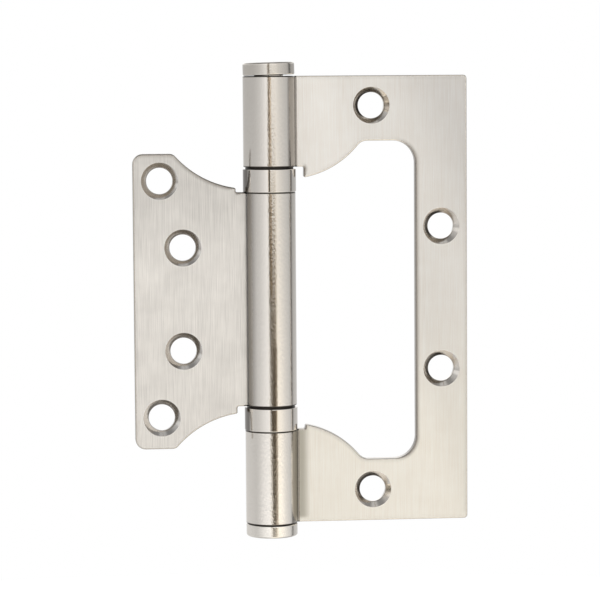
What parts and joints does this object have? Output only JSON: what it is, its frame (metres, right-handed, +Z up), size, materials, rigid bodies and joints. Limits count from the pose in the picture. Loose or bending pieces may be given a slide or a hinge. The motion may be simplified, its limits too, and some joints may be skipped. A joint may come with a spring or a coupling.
{
  "type": "flush hinge",
  "caption": "Butterfly flush hinge in satin nickel: a small leaf on ball bearings nests in the window of a large leaf.",
  "frame": {"origin": "on the pin's axis, half way up the large leaf", "axes": "+Z up along the pin, +X towards the large leaf with the hinge open flat, +Y towards the back faces; countersunk faces look along -Y"},
  "size_m": [0.0749, 0.0118, 0.106],
  "materials": {
    "satin_nickel_leaf": "satin nickel plate, brushed along the pin",
    "satin_nickel_tip": "satin nickel plate, turned and tumbled",
    "polished_nickel_ring": "polished nickel plate",
    "steel_pin": "drawn steel",
    "hardened_race": "dark hardened steel, oiled",
    "bearing_ball_steel": "ground and polished",
    "cage_nylon": "moulded nylon"
  },
  "bodies": {
    "root": {"frame_leaf": "satin_nickel_leaf", "hinge_pin": "steel_pin", "top_cap": "satin_nickel_tip", "bottom_cap": "satin_nickel_tip", "upper_top_race": "hardened_race", "lower_shell": "polished_nickel_ring", "lower_bottom_race": "hardened_race"},
    "sash": {"sash_leaf": "satin_nickel_leaf", "upper_shell": "polished_nickel_ring", "upper_bottom_race": "hardened_race", "lower_top_race": "hardened_race"},
    "upper_cage": {"upper_ball_cage": "cage_nylon", "upper_ball_01": "bearing_ball_steel", "upper_ball_02": "bearing_ball_steel", "upper_ball_03": "bearing_ball_steel", "upper_ball_04": "bearing_ball_steel", "upper_ball_05": "bearing_ball_steel", "upper_ball_06": "bearing_ball_steel", "upper_ball_07": "bearing_ball_steel", "upper_ball_08": "bearing_ball_steel", "upper_ball_09": "bearing_ball_steel", "upper_ball_10": "bearing_ball_steel"},
    "lower_cage": {"lower_ball_cage": "cage_nylon", "lower_ball_01": "bearing_ball_steel", "lower_ball_02": "bearing_ball_steel", "lower_ball_03": "bearing_ball_steel", "lower_ball_04": "bearing_ball_steel", "lower_ball_05": "bearing_ball_steel", "lower_ball_06": "bearing_ball_steel", "lower_ball_07": "bearing_ball_steel", "lower_ball_08": "bearing_ball_steel", "lower_ball_09": "bearing_ball_steel", "lower_ball_10": "bearing_ball_steel"}
  },
  "joints": [
    {"name": "leaf_swing", "type": "hinge", "parent": "root", "child": "sash", "pos_m": [0, 0, 0], "axis": [0, 0, 1], "range_deg": [-90, 180]},
    {"name": "upper_cage_roll", "type": "hinge", "parent": "root", "child": "upper_cage", "pos_m": [0, 0, 0.0269], "axis": [0, 0, 1], "range_deg": [-45, 90]},
    {"name": "lower_cage_roll", "type": "hinge", "parent": "root", "child": "lower_cage", "pos_m": [0, 0, -0.0263], "axis": [0, 0, 1], "range_deg": [-45, 90]}
  ],
  "couplings": [
    {"joint": "upper_cage_roll", "follows": "leaf_swing", "ratio": 0.5},
    {"joint": "lower_cage_roll", "follows": "leaf_swing", "ratio": 0.5}
  ]
}
